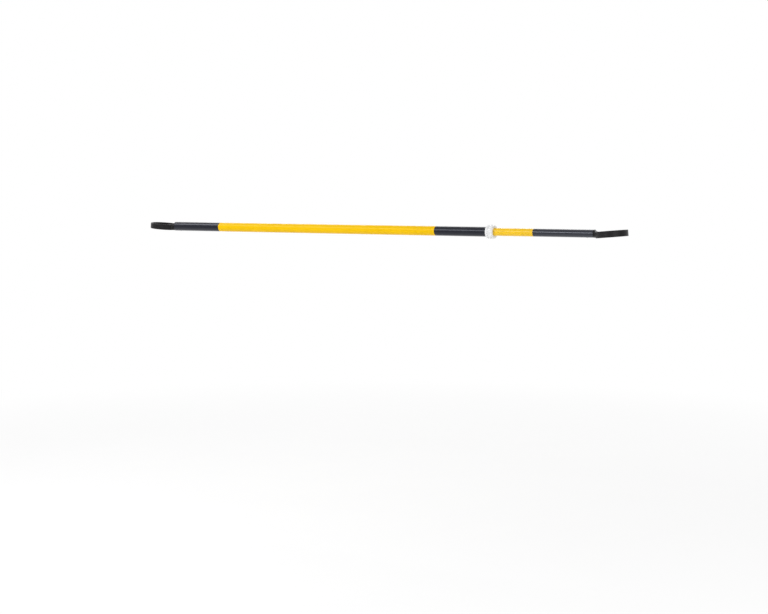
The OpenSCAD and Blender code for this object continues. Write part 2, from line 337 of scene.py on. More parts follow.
def skinGrain(tree, coords, look):
    feeds = {"Coordinates": coords, "Grain": look["grain"], "Ripple": look["ripple"]}
    return placeGroup(tree, mouldGrain, feeds)


def readMark(tree, name):  # a value stored on the piece's own points
    return putNode(tree, "ShaderNodeAttribute", attribute_name=name).outputs["Fac"]


def roughen(tree, skin, look, height):  # relief of a finish, as bump
    feeds = {"Strength": look["bumpShare"], "Distance": look["bump"], "Height": height}
    tree.links.new(putNode(tree, "ShaderNodeBump", feeds).outputs[0], skin["Normal"])


# glossy plastic film on the tubes

filmBase = {
    "drift": 0.09, "driftScale": 16.0, "across": 2900.0, "rarity": 0.60, "patches": 13.0, "rubSheen": 0.45,
    "rubHeight": -1.5, "rimPower": 3.0, "dirtSpread": 22.0, "dirtShare": 0.09, "dirtSheen": 0.15,
    "grain": 900.0, "ripple": 150.0, "grainSheen": 0.10, "bumpShare": 0.55, "bump": 0.000006, "ior": 1.5,
}
filmLooks = {
    "filmBlack": {
        "tone": (0.0060, 0.0066, 0.0120, 1), "scuff": (0.05, 0.05, 0.055, 1), "dirt": (0.09, 0.085, 0.08, 1),
        "gloss": 0.20, "rub": 0.16, "along": 25, "level": 0.27, "sheen": (0.84, 0.88, 1.0, 1)},
    "filmYellow": {
        "tone": (0.84, 0.510, 0.002, 1), "scuff": (0.74, 0.41, 0.02, 1), "dirt": (0.42, 0.27, 0.05, 1),
        "gloss": 0.26, "rub": 0.16, "along": 25, "level": 0.08, "sheen": pureWhite},
    "filmBlackInner": {
        "tone": (0.0064, 0.0070, 0.0120, 1), "scuff": (0.06, 0.06, 0.065, 1), "dirt": (0.09, 0.085, 0.08, 1),
        "gloss": 0.17, "rub": 0.3, "along": 9, "level": 0.5, "sheen": (0.84, 0.88, 1.0, 1)},
    "filmYellowInner": {
        "tone": (0.84, 0.525, 0.012, 1), "scuff": (0.74, 0.44, 0.04, 1), "dirt": (0.42, 0.27, 0.05, 1),
        "gloss": 0.24, "rub": 0.3, "along": 9, "level": 0.25, "sheen": pureWhite},
}


def makeFilm(name, look):
    finish, tree, skin, coords = openFinish(name, {
        "IOR": look["ior"], "Specular IOR Level": look["level"], "Specular Tint": look["sheen"]})
    rubbed = calc(tree, "MULTIPLY", scuffMarks(tree, coords, look), look["rub"])
    dirt = dirtAndShadeMask(tree, coords, look, calc(tree, "POWER", readMark(tree, "rim"), look["rimPower"]))
    grain = skinGrain(tree, coords, look)
    worn = blendTones(tree, rubbed, driftingTone(tree, coords, look), look["scuff"])
    soiled = blendTones(tree, calc(tree, "MULTIPLY", dirt, look["dirtShare"]), worn, look["dirt"])
    tree.links.new(soiled, skin["Base Color"])
    gloss = calc(tree, "MULTIPLY_ADD", grain["Sheen"], look["grainSheen"], look["gloss"])
    gloss = calc(tree, "MULTIPLY_ADD", rubbed, look["rubSheen"], gloss)
    tree.links.new(calc(tree, "MULTIPLY_ADD", dirt, look["dirtSheen"], gloss), skin["Roughness"])
    roughen(tree, skin, look, calc(tree, "MULTIPLY_ADD", rubbed, look["rubHeight"], grain["Height"]))
    return finish


# satin black of the rings, satin white of the lock, and what sits inside

plasticBase = {
    "driftScale": 45.0, "along": 400.0, "across": 2400.0, "rarity": 0.64, "patches": 60.0,
    "scratchShare": 0.30, "wearScale": 190.0, "wearDetail": 4.0, "wearRange": (0.40, 0.62),
    "wearSheen": -0.08, "dirtSpread": 60.0, "dirtSheen": 0.25, "ripple": 120.0, "grainSheen": 0.16,
    "seamHeight": 4.0, "bumpShare": 0.7, "ior": 1.5,
}
plasticLooks = {
    "ringBlack": {
        "tone": (0.0060, 0.0056, 0.0062, 1), "edge": (0.016, 0.016, 0.017, 1), "dirt": (0.10, 0.095, 0.09, 1),
        "gloss": 0.38, "grain": 3000.0, "drift": 0.16, "dirtShare": 0.15, "bump": 0.00003, "level": 0.17},
    # the lock's dirt colour also serves as painted shade on the collar's thread behind the nut
    "lockWhite": {
        "tone": (0.77, 0.775, 0.78, 1), "edge": (0.80, 0.805, 0.81, 1), "dirt": (0.54, 0.52, 0.48, 1),
        "gloss": 0.36, "grain": 2400.0, "drift": 0.03, "dirtShare": 0.06, "bump": 0.00002, "level": 0.4},
    "naturalNylon": {
        "tone": (0.76, 0.74, 0.66, 1), "edge": (0.82, 0.80, 0.73, 1), "dirt": (0.33, 0.31, 0.27, 1),
        "gloss": 0.46, "grain": 1800.0, "drift": 0.07, "dirtShare": 0.3, "bump": 0.00003, "level": 0.5},
}


def makePlastic(name, look):
    finish, tree, skin, coords = openFinish(name, {"IOR": look["ior"], "Specular IOR Level": look["level"]})
    scratch = calc(tree, "MULTIPLY", scuffMarks(tree, coords, look), look["scratchShare"])
    patchy = ramp(tree, noise(tree, coords, look["wearScale"], look["wearDetail"]), *look["wearRange"])
    worn = calc(tree, "MULTIPLY", readMark(tree, "edge"), patchy)
    worn = calc(tree, "MAXIMUM", worn, scratch)
    # dirt held in nooks; on the lock collar this also lays painted shade on the thread behind the nut
    dirt = dirtAndShadeMask(tree, coords, look, readMark(tree, "nook"))
    dirt = calc(tree, "MULTIPLY", dirt, look["dirtShare"])
    body = blendTones(tree, worn, driftingTone(tree, coords, look), look["edge"])
    tree.links.new(blendTones(tree, dirt, body, look["dirt"]), skin["Base Color"])
    grain = skinGrain(tree, coords, look)
    gloss = calc(tree, "MULTIPLY_ADD", grain["Sheen"], look["grainSheen"], look["gloss"])
    gloss = calc(tree, "MULTIPLY_ADD", worn, look["wearSheen"], gloss)
    tree.links.new(calc(tree, "MULTIPLY_ADD", dirt, look["dirtSheen"], gloss), skin["Roughness"])
    seam = readMark(tree, "seam")
    roughen(tree, skin, look, calc(tree, "MULTIPLY_ADD", seam, look["seamHeight"], grain["Height"]))
    return finish


# bare metal: drawn steel of the tubes, plain metal of the fasteners

metalBase = {
    "drift": 0.12, "driftScale": 60.0, "across": 5200.0, "rarity": 0.5, "patches": 90.0, "lineSheen": 0.14,
    "dirtSpread": 200.0, "dullShare": 0.7, "dullSheen": 0.2, "bumpShare": 0.4, "bump": 0.00001,
}
metalLooks = {
    "drawnSteel": {
        "tone": (0.56, 0.57, 0.58, 1), "dull": (0.30, 0.295, 0.285, 1), "gloss": 0.32, "along": 12.0},
    "plainFastener": {
        "tone": (0.50, 0.505, 0.515, 1), "dull": (0.26, 0.257, 0.25, 1), "gloss": 0.30, "along": 700.0},
}


def makeMetal(name, look):
    finish, tree, skin, coords = openFinish(name, {"Metallic": 1.0})
    lines = scuffMarks(tree, coords, look)
    dull = dirtAndShadeMask(tree, coords, look, readMark(tree, "nook"))
    share = calc(tree, "MULTIPLY", dull, look["dullShare"])
    faded = blendTones(tree, share, driftingTone(tree, coords, look), look["dull"])
    tree.links.new(faded, skin["Base Color"])
    gloss = calc(tree, "MULTIPLY_ADD", lines, look["lineSheen"], look["gloss"])
    tree.links.new(calc(tree, "MULTIPLY_ADD", dull, look["dullSheen"], gloss), skin["Roughness"])
    roughen(tree, skin, look, lines)
    return finish


finishes = {name: makeFilm(name, {**filmBase, **look}) for name, look in filmLooks.items()}
finishes.update({name: makePlastic(name, {**plasticBase, **look}) for name, look in plasticLooks.items()})
finishes.update({name: makeMetal(name, {**metalBase, **look}) for name, look in metalLooks.items()})
print("finishes:", ", ".join(finishes))


# shape trees

def smoothBelow(tree, mesh, angle):  # round shading, with creases at sharper edges
    soft = putNode(tree, "GeometryNodeSetShadeSmooth", {"Geometry": mesh}).outputs[0]
    bend = putNode(tree, "GeometryNodeInputMeshEdgeAngle").outputs["Unsigned Angle"]
    sharp = putNode(tree, "FunctionNodeCompare", {0: bend, 1: angle}, operation="GREATER_THAN").outputs[0]
    feeds = {"Geometry": soft, "Selection": sharp, "Shade Smooth": False}
    return putNode(tree, "GeometryNodeSetShadeSmooth", feeds, domain="EDGE").outputs[0]


def closeTree(tree, mesh, finish, put):
    real = putNode(tree, "GeometryNodeRealizeInstances", {"Geometry": mesh}).outputs[0]
    dressed = putNode(tree, "GeometryNodeSetMaterial", {"Geometry": real, "Material": finish}).outputs[0]
    tree.links.new(dressed, put["Geometry"])


def standUp(tree, curve):
    return putNode(tree, "GeometryNodeSetCurveNormal", {"Curve": curve}, mode="Z_UP").outputs[0]


def splitPosition(tree):
    spot = putNode(tree, "GeometryNodeInputPosition").outputs[0]
    return putNode(tree, "ShaderNodeSeparateXYZ", {0: spot}).outputs


def storeMark(tree, mesh, name, value):
    feeds = {"Geometry": mesh, "Name": name, "Value": value}
    return putNode(tree, "GeometryNodeStoreNamedAttribute", feeds).outputs[0]


def makeTurnTree():  # profile of (radius, height) points turned about Z
    tree, given, put = openTree("turnTree", "GeometryNodeTree", [
        ("Profile", shape, None), ("Path Radius", number, 0.01), ("Sides", whole, 96),
        ("Crease", number, 0.6), ("Merge", number, 1e-6), ("Finish", finishSocket, None)],
        [("Geometry", shape)])
    line = putNode(tree, "GeometryNodeMeshToCurve", {"Mesh": given["Profile"]}).outputs[0]
    at = splitPosition(tree)
    out = calc(tree, "SUBTRACT", at[0], given["Path Radius"])
    spot = putNode(tree, "ShaderNodeCombineXYZ", {0: out, 1: calc(tree, "MULTIPLY", at[1], -1.0)}).outputs[0]
    drawn = putNode(tree, "GeometryNodeSetPosition", {"Geometry": line, "Position": spot}).outputs[0]
    path = putNode(tree, "GeometryNodeCurvePrimitiveCircle",
                   {"Resolution": given["Sides"], "Radius": given["Path Radius"]}).outputs[0]
    swept = putNode(tree, "GeometryNodeCurveToMesh",
                    {"Curve": standUp(tree, path), "Profile Curve": drawn}).outputs[0]
    closed = putNode(tree, "GeometryNodeMergeByDistance",
                     {"Geometry": swept, "Distance": given["Merge"]}).outputs[0]
    closeTree(tree, smoothBelow(tree, closed, given["Crease"]), given["Finish"], put)
    return tree


def makeGripTree(turned):  # a turned body whose outside rises into half-round grip ribs
    tree, given, put = openTree("gripTree", "GeometryNodeTree", [
        ("Profile", shape, None), ("Path Radius", number, 0.01), ("Sides", whole, 448),
        ("Crease", number, 3.0), ("Rib Count", whole, 28), ("Rib Phase", number, 100.5),  # crest at zero
        ("Rib Height", number, 0.00075), ("Rib Half Width", number, 0.0009), ("Root Radius", number, 0.017),
        ("From", number, 0.0), ("To", number, 0.01), ("Run Out", number, 0.0009),
        ("Skin Deep", number, 0.0003), ("Skin Thin", number, 0.00005), ("Foot Fade", number, 0.75),
        ("Foot Dirt", number, 0.8), ("Worn From", number, 0.7), ("Finish", finishSocket, None)],
        [("Geometry", shape)])
    handed = {label: given[label] for label in ("Profile", "Path Radius", "Sides", "Crease", "Finish")}
    body = putNode(tree, "GeometryNodeGroup", handed, node_tree=turned).outputs[0]
    at, root = splitPosition(tree), given["Root Radius"]
    squares = [calc(tree, "POWER", at[axis], 2.0) for axis in (0, 1)]
    out = calc(tree, "SQRT", calc(tree, "ADD", *squares))
    turn = calc(tree, "DIVIDE", calc(tree, "ARCTAN2", at[1], at[0]), fullTurn)
    turn = calc(tree, "MULTIPLY_ADD", turn, given["Rib Count"], given["Rib Phase"])
    fromCrest = calc(tree, "ABSOLUTE", calc(tree, "SUBTRACT", calc(tree, "FRACT", turn), 0.5))
    pitch = calc(tree, "DIVIDE", calc(tree, "MULTIPLY", root, fullTurn), given["Rib Count"])
    flank = calc(tree, "DIVIDE", calc(tree, "MULTIPLY", fromCrest, pitch), given["Rib Half Width"])
    bow = calc(tree, "SUBTRACT", 1.0, calc(tree, "POWER", flank, 2.0))
    crest = calc(tree, "SQRT", calc(tree, "MAXIMUM", bow, 0.0))
    start = ramp(tree, at[2], given["From"], calc(tree, "ADD", given["From"], given["Run Out"]))
    stop = ramp(tree, at[2], given["To"], calc(tree, "SUBTRACT", given["To"], given["Run Out"]))
    skinOnly = ramp(tree, out, calc(tree, "SUBTRACT", root, given["Skin Deep"]),
                    calc(tree, "SUBTRACT", root, given["Skin Thin"]))
    grip = product(tree, start, stop, skinOnly)
    rise = calc(tree, "MULTIPLY", crest, grip)
    push = calc(tree, "DIVIDE", calc(tree, "MULTIPLY", rise, given["Rib Height"]), out)
    sideways = {axis: calc(tree, "MULTIPLY", at[axis], push) for axis in (0, 1)}
    offset = putNode(tree, "ShaderNodeCombineXYZ", sideways).outputs[0]
    foot = product(tree, grip, ramp(tree, crest, given["Foot Fade"], 0.0), given["Foot Dirt"])
    marked = storeMark(tree, body, "nook", foot)
    marked = storeMark(tree, marked, "edge", ramp(tree, rise, given["Worn From"], 1.0))
    raised = putNode(tree, "GeometryNodeSetPosition", {"Geometry": marked, "Offset": offset}).outputs[0]
    closeTree(tree, raised, given["Finish"], put)
    return tree


def makeHelixTree():  # raised screw thread about Z
    tree, given, put = openTree("helixTree", "GeometryNodeTree", [
        ("Radius", number, 0.01), ("Turns", number, 2.0), ("Rise", number, 0.006), ("Foot", number, 0.001),
        ("Crest", number, 0.0005), ("Height", number, 0.0006), ("Steps", whole, 64), ("Crease", number, 0.5),
        ("Finish", finishSocket, None)], [("Geometry", shape)])
    spiral = putNode(tree, "GeometryNodeCurveSpiral", {
        "Resolution": given["Steps"], "Rotations": given["Turns"], "Start Radius": given["Radius"],
        "End Radius": given["Radius"], "Height": given["Rise"]}).outputs[0]
    tooth = putNode(tree, "GeometryNodeCurvePrimitiveQuadrilateral", {
        "Bottom Width": given["Foot"], "Top Width": given["Crest"], "Height": given["Height"], "Offset": 0.0},
        mode="TRAPEZOID").outputs[0]
    outwards = putNode(tree, "GeometryNodeTransform",
                       {"Geometry": tooth, "Rotation": (0, 0, math.radians(-90))}).outputs[0]
    swept = putNode(tree, "GeometryNodeCurveToMesh", {
        "Curve": standUp(tree, spiral), "Profile Curve": outwards, "Fill Caps": True}).outputs[0]
    closeTree(tree, smoothBelow(tree, swept, given["Crease"]), given["Finish"], put)
    return tree


turnTree = makeTurnTree()
helixTree = makeHelixTree()
gripTree = makeGripTree(turnTree)


# from trees and profiles to plain meshes

sliver = 0.02  # shorter edges along a cut or a weld are merged


def faceOutwards(mesh):
    with editing(mesh) as work:
        bmesh.ops.recalc_face_normals(work, faces=work.faces)
        if work.calc_volume(signed=True) < 0:
            bmesh.ops.reverse_faces(work, faces=work.faces)


def freeze(thing):  # the evaluated shape becomes a plain mesh
    graph = bpy.context.evaluated_depsgraph_get()
    mesh = bpy.data.meshes.new_from_object(thing.evaluated_get(graph), preserve_all_data_layers=True,
                                           depsgraph=graph)
    thing.modifiers.clear()
    thing.data = mesh
    mesh.name = thing.name


def combine(thing, other, operation):  # cut the other shape out, or weld it on
    faceOutwards(thing.data)
    faceOutwards(other.data)
    step = thing.modifiers.new("combine", "BOOLEAN")
    step.operation, step.solver, step.object = operation, "MANIFOLD", other
    freeze(thing)
    bpy.data.objects.remove(other)
    with editing(thing.data) as work:
        for _ in range(2):  # no slivers along the new seam
            bmesh.ops.dissolve_degenerate(work, edges=work.edges, dist=sliver * mm)
            bmesh.ops.triangulate(work, faces=[face for face in work.faces if len(face.verts) > 4])


def grow(name, tree, sizes, seed=None):
    thing = place(name, seed or bpy.data.meshes.new(name))
    maker = thing.modifiers.new(tree.name, "NODES")
    maker.node_group = tree
    sockets = {item.name: item.identifier for item in tree.interface.items_tree if item.in_out == "INPUT"}
    for label, value in sizes.items():
        maker[sockets[label]] = value
    freeze(thing)
    return thing


def outline(points, closed=True, steps=6):  # (radius, height, rounding) corners in mm become a profile
    corners = [Vector((p[0], p[1])) for p in points]
    rounds = [p[2] if len(p) > 2 else 0 for p in points]
    drawn, count = [], len(corners)
    for i, corner in enumerate(corners):
        openEnd = not closed and i in (0, count - 1)
        if rounds[i] <= 0 or openEnd:
            drawn.append(corner)
            continue
        back, on = (corners[i - 1] - corner).normalized(), (corners[(i + 1) % count] - corner).normalized()
        half = back.angle(on) / 2
        run = rounds[i] / math.tan(half)
        centre = corner + (back + on).normalized() * rounds[i] / math.sin(half)
        first, last = corner + back * run - centre, corner + on * run - centre
        swing = first.angle_signed(last)
        for s in range(steps + 1):
            turn = Matrix.Rotation(-swing * s / steps, 2)
            drawn.append(centre + turn @ first)
    return drawn


def seedLine(name, drawn, closed=True, longest=None):  # profile as an edge chain, long runs cut up
    dense = []
    count = len(drawn)
    for i, point in enumerate(drawn):
        dense.append(point)
        if i == count - 1 and not closed:
            break
        nextPoint = drawn[(i + 1) % count]
        cuts = int((nextPoint - point).length // longest) if longest else 0
        dense += [point.lerp(nextPoint, (c + 1) / (cuts + 1)) for c in range(cuts)]
    mesh = bpy.data.meshes.new(name)
    edges = [(i, i + 1) for i in range(len(dense) - 1)] + ([(len(dense) - 1, 0)] if closed else [])
    mesh.from_pydata([(p.x * mm, p.y * mm, 0) for p in dense], edges, [])
    return mesh


def turnProfile(name, drawn, size, finish=None, closed=True):
    sizes = {"Path Radius": size["path"] * mm, "Sides": size["sides"], "Crease": size["crease"]}
    if finish:
        sizes["Finish"] = finishes[finish]
    return grow(name, turnTree, sizes, seedLine(name, drawn, closed, size.get("longest")))


def addMark(mesh, name, rule, turn=Matrix.Identity(3)):  # a value per point, from its place in mm
    mark = mesh.attributes.new(name, "FLOAT", "POINT")
    mark.data.foreach_set("value", [max(0.0, rule(turn @ vertex.co / mm)) for vertex in mesh.vertices])


def settle(thing, matrix, body, node):  # into place, outward, onto its body
    thing.data.transform(matrix)
    faceOutwards(thing.data)
    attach(thing, body)
    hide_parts(node)


# film sleeves

tubes = {  # radii over the film and inside the tube
    "outer": {"film": 12.6, "bore": 11.4},
    "inner": {"film": 10.0, "bore": 8.8},
}
films = {
    "filmBlackTail": {"from": 47.0, "to": 213.0, "body": "outer", "node": "outer_film_black_tail",
                      "finish": "filmBlack", "slot": "film_black"},
    "filmYellowLong": {"from": 213.0, "to": 936.0, "body": "outer", "node": "outer_film_yellow",
                       "finish": "filmYellow", "slot": "film_yellow"},
    "filmBlackMouth": {"from": 936.0, "to": 1102.0, "body": "outer", "node": "outer_film_black_mouth",
                       "finish": "filmBlack", "slot": "film_black"},
    "filmYellowInner": {"from": 429.0, "to": 1223.0, "body": "inner", "node": "inner_film_yellow",
                        "finish": "filmYellowInner", "slot": "film_yellow"},
    "filmBlackEnd": {"from": 1223.0, "to": 1389.0, "body": "inner", "node": "inner_film_black_end",
                     "finish": "filmBlackInner", "slot": "film_black"},
}
filmStock = {"wall": 0.6, "edge": 0.14, "edgeSteps": 3, "rim": 2.0, "sides": 120, "crease": 0.45}


def makeFilmSleeve(name, size, stock):
    low, high, out, rim = size["from"], size["to"], tubes[size["body"]]["film"], stock["rim"]
    inside = out - stock["wall"]
    points = [(inside, low), (out, low, stock["edge"]), (out, low + rim), (out, high - rim),
              (out, high, stock["edge"]), (inside, high)]
    drawn = outline(points, steps=stock["edgeSteps"])
    thing = turnProfile(name, drawn, {**stock, "path": out}, size["finish"])
    addMark(thing.data, "rim", lambda at: 1 - min(at.z - low, high - at.z) / rim)
    settle(thing, alongBar, size["body"], size["node"])


for name, size in films.items():
    makeFilmSleeve(name, size, filmStock)
print("films:", len(films))


# rings: leaning band, trumpet neck, flange and barbed shank in one moulding

ends = {
    "Left": {"body": "outer", "ring": "left_ring", "rivet": "left_ring_rivet", "where": Matrix.Identity(4)},
    "Right": {"body": "inner", "ring": "right_ring", "rivet": "right_ring_rivet",
              "where": halfTurn(1436.0, "Z")},
}
ring = {
    "bore": 36.5, "wall": 3.5, "height": 16.0, "edge": 1.1, "cant": 5.0, "sides": 200, "crease": 0.6,
    "longest": 1.2, "voxel": 0.5, "softFactor": 0.5, "softTimes": 5, "weldCrease": 0.8,
}
neck = {
    "sink": 1.2, "tail": 47.0, "radius": 11.0, "underFilm": 0.6, "flareHalf": 12.0, "flareRise": 7.45,
    "widthCurve": 2.3, "heightCurve": 1.4, "boxy": 2.5, "sides": 48, "steps": 16,
    "blendTimes": 24, "blendFactor": 0.5, "blendSink": 0.2, "blendReach": 5.0,
}
shank = {
    "flange": 2.4, "flangeRound": 0.7, "flangeEdge": 0.15, "length": 36.0, "wall": 3.0, "gap": 0.02,
    "barbs": 4, "barbDepth": 0.5, "tip": 1.2, "tipTaper": 0.6, "tipRound": 0.3, "roundSteps": 5,
    "pathInset": 1.5, "sides": 96, "crease": 0.45,
}
ringWear = {
    "rimFade": 0.9, "rimReach": 0.4, "nookFrom": 0.1, "nookAt": 0.6, "nookFade": 1.4,
    "seamFade": 0.45, "seamSink": 0.6,
}


def loft(work, rows):  # rings of points joined by quads, both ends capped
    made = [[work.verts.new(point) for point in row] for row in rows]
    for low, high in zip(made, made[1:]):
        for i in range(len(low)):
            j = (i + 1) % len(low)
            work.faces.new((low[i], low[j], high[j], high[i]))
    work.faces.new(made[0][::-1])
    work.faces.new(made[-1])


def neckRows(size, radius, lean):  # from the band's side, wide and low, to the round at the flange
    rows = []
    start, stop = ring["bore"] + size["sink"], size["tail"] - shank["flange"] / 2
    for step in range(size["steps"] + 1):
        t = step / size["steps"]
        wide = radius + (size["flareHalf"] - radius) * (1 - t) ** size["widthCurve"]
        tall = radius + (size["flareRise"] - radius) * (1 - t) ** size["heightCurve"]
        power = 2 / (2 + size["boxy"] * (1 - t))  # super-ellipse, boxier at the band
        row = []
        for k in range(size["sides"]):
            c, s = math.cos(fullTurn * k / size["sides"]), math.sin(fullTurn * k / size["sides"])
            y = wide * math.copysign(abs(c) ** power, c)
            z = tall * math.copysign(abs(s) ** power, s)
            point = Vector((start + (stop - start) * t, y, z))
            row.append(point.lerp(lean @ point, 1 - t) * mm)
        rows.append(row)
    return rows


def makeRing(name, end, size):
    lean = Matrix.Rotation(math.radians(size["cant"]), 3, "Y")
    half, edge, bore, outer = size["height"] / 2, size["edge"], size["bore"], size["bore"] + size["wall"]
    points = [(bore, -half, edge), (outer, -half, edge), (outer, half, edge), (bore, half, edge)]
    thing = turnProfile(name, outline(points), {**size, "path": bore + size["wall"] / 2})
    thing.data.transform(lean.to_4x4())
    faceOutwards(thing.data)
    neckRadius = min(neck["radius"], tubes[end["body"]]["film"] - neck["underFilm"])
    with editing(thing.data) as work:
        loft(work, neckRows(neck, neckRadius, lean))
        bmesh.ops.recalc_face_normals(work, faces=work.faces)
    cast = thing.modifiers.new("cast", "REMESH")
    cast.mode, cast.voxel_size, cast.use_smooth_shade = "VOXEL", size["voxel"] * mm, True
    soften = thing.modifiers.new("soften", "SMOOTH")
    soften.factor, soften.iterations = size["softFactor"], size["softTimes"]
    freeze(thing)
    blendNeck(thing.data, neck, outer, lean.transposed())
    addShank(thing, tubes[end["body"]], shank)
    thing.data.set_sharp_from_angle(angle=size["weldCrease"])
    markRing(thing.data, ringWear, half, outer, lean.transposed())
    thing.data.materials.clear()
    thing.data.materials.append(finishes["ringBlack"])
    settle(thing, end["where"], end["body"], end["ring"])


def blendNeck(mesh, size, outer, back):  # soft hollow where the neck runs out of the band
    with editing(mesh) as work:
        near = []
        for vertex in work.verts:
            at = back @ vertex.co / mm
            outside = math.hypot(at.x, at.y) > outer - size["blendSink"]
            if outside and at.x > 0 and abs(at.y) < size["flareHalf"] + size["blendReach"]:
                near.append(vertex)
        for _ in range(size["blendTimes"]):
            bmesh.ops.smooth_vert(work, verts=near, factor=size["blendFactor"],
                                  use_axis_x=True, use_axis_y=True, use_axis_z=True)


def addShank(thing, tube, size):  # flange on the tube's end, and the hollow barbed shank inside the tube
    side, tail, rim = tube["bore"] - size["gap"], neck["tail"], tube["film"]
    face, far, hollow = tail - size["flange"], tail + size["length"], side - size["wall"]
    pitch = (size["length"] - size["tip"]) / size["barbs"]
    points = [(0, face), (rim, face, size["flangeRound"]), (rim, tail, size["flangeEdge"]), (side, tail)]
    for i in range(size["barbs"]):
        points += [(side, tail + (i + 0.5) * pitch), (side - size["barbDepth"], tail + (i + 1) * pitch)]
    points += [(side - size["barbDepth"] - size["tipTaper"], far, size["tipRound"]),
               (hollow, far, size["tipRound"]), (hollow, tail), (0, tail)]
    drawn = outline(points, closed=False, steps=size["roundSteps"])
    inner = turnProfile(thing.name + "Shank", drawn, {**size, "path": side - size["pathInset"]}, closed=False)
    inner.data.transform(alongBar)
    combine(thing, inner, "UNION")


def markRing(mesh, wear, half, outer, back):  # polished rim, dirt beside the neck, line of the mould halves
    def rim(at):
        onBand = math.hypot(at.x, at.y) < outer + wear["rimReach"]
        return min(1.0, 1 - (half - abs(at.z)) / wear["rimFade"]) if onBand else 0.0

    def nook(at):
        beyond = math.hypot(at.x, at.y) - outer
        return 1 - abs(beyond - wear["nookAt"]) / wear["nookFade"] if beyond > wear["nookFrom"] else 0.0

    def seam(at):
        outside = math.hypot(at.x, at.y) > outer - wear["seamSink"]
        return 1 - abs(at.z) / wear["seamFade"] if outside else 0.0

    for label, rule in {"edge": rim, "nook": nook, "seam": seam}.items():
        addMark(mesh, label, rule, back)


for side, end in ends.items():
    makeRing("ring" + side, end, ring)
print("rings:", len(ends))


# lock: fixed collar with its thread and the seat of its screw, and the ribbed twist nut

collar = {
    "back": 1090.5, "width": 7.0, "radius": 17.32, "round": 1.0, "bore": 12.62, "boreEdge": 0.2,
    "shoulderRound": 0.7, "mouth": 1102.0, "sleeveFrom": 1072.0, "sleeveRadius": 11.38, "sleeveEdge": 0.5,
    "guideBore": 10.15, "seatMouth": 12.347, "seatRoot": 11.1, "seatFlat": 0.4, "threadRoot": 14.15,
    "front": 1105.2, "frontEdge": 0.3, "path": 12.0, "sides": 160, "crease": 0.7, "longest": 0.7,
}
thread = {
    "pitch": 3.0, "crest": 14.8, "foot": 13.9, "runIn": 0.9, "footWide": 1.8, "crestWide": 0.8, "steps": 72,
}
screwSeat = {"radius": 2.52, "deep": 1.05, "over": 3.0, "path": 1.0, "sides": 64, "crease": 0.6}
collarWear = {
    "edgeFade": 0.8, "edgeSink": 0.6, "nookFade": 1.5, "nookReach": 0.4,
    # shoulderShade: strength of the painted shade on the thread behind the nut
    "shoulderShade": 0.7, "shoulderReach": 0.3, "shoulderSink": 0.8,
}
screw = {
    "x": 1094.0, "top": 17.139, "head": 2.5, "headEdge": 0.12, "edgeSteps": 3, "shank": 1.45, "tip": 10.45,
    "tipTaper": 0.6, "path": 1.0, "sides": 64, "crease": 0.5, "recess": 1.55, "recessWide": 0.5,
    "recessTurn": 20, "recessFloor": {"z": -0.85, "reach": 0.45, "wide": 0.7},
    "recessMouth": {"z": 0.5, "reach": 1.3, "wide": 1.2},  # heights from the top, shares of reach and width
}
nut = {
    "from": 1097.8, "to": 1110.75, "faceFrom": 1107.75, "bore": 14.97, "boreEdge": 0.3, "root": 17.07,
    "backRound": 0.7, "frontRound": 2.2, "exit": 10.3, "exitEdge": 0.5, "path": 13.0, "sides": 448,
    "longest": 0.4, "ribs": 28, "ribHeight": 0.75, "ribHalf": 0.95, "ribBack": 0.5, "ribOver": 0.4,
    "runOut": 1.0,
}


def makeCollar(size):
    back, front, mouth, shoulder = size["back"], size["front"], size["mouth"], size["back"] + size["width"]
    seat, sleeve = mouth + size["seatFlat"], size["sleeveRadius"]
    points = [
        (size["guideBore"], size["sleeveFrom"]), (sleeve, size["sleeveFrom"], size["sleeveEdge"]),
        (sleeve, mouth), (size["bore"], mouth), (size["bore"], back, size["boreEdge"]),
        (size["radius"], back, size["round"]), (size["radius"], shoulder, size["shoulderRound"]),
        (size["threadRoot"], shoulder), (size["threadRoot"], front, size["frontEdge"]),
        (size["seatMouth"], front), (size["seatRoot"], seat), (size["guideBore"], seat)]
    thing = turnProfile("lockCollar", outline(points), size, "lockWhite")
    thing.data.transform(alongBar)
    cutScrewSeat(thing, screwSeat)
    addThread(thing, shoulder, front, thread)
    markCollar(thing.data, size, collarWear)
    settle(thing, Matrix.Identity(4), "outer", "lock_bush")


def cutScrewSeat(thing, size):
    top, wide, deep = screw["top"], size["radius"], size["deep"]
    drawn = [Vector(p) for p in ((0, top - deep), (wide - deep, top - deep), (wide, top),
                                 (wide, top + size["over"]), (0, top + size["over"]))]
    cutter = turnProfile("screwSink", drawn, size, closed=False)
    cutter.data.transform(halfTurn(screw["x"], "X"))
    combine(thing, cutter, "DIFFERENCE")


def addThread(thing, shoulder, front, size):
    length = front - shoulder - 2 * size["runIn"]
    helix = grow("collarThread", helixTree, {
        "Radius": (size["crest"] + size["foot"]) / 2 * mm, "Height": (size["crest"] - size["foot"]) * mm,
        "Turns": length / size["pitch"], "Rise": length * mm, "Foot": size["footWide"] * mm,
        "Crest": size["crestWide"] * mm, "Steps": size["steps"], "Finish": finishes["lockWhite"]})
    helix.data.transform(alongBar @ Matrix.Translation((0, 0, (shoulder + size["runIn"]) * mm)))
    combine(thing, helix, "UNION")


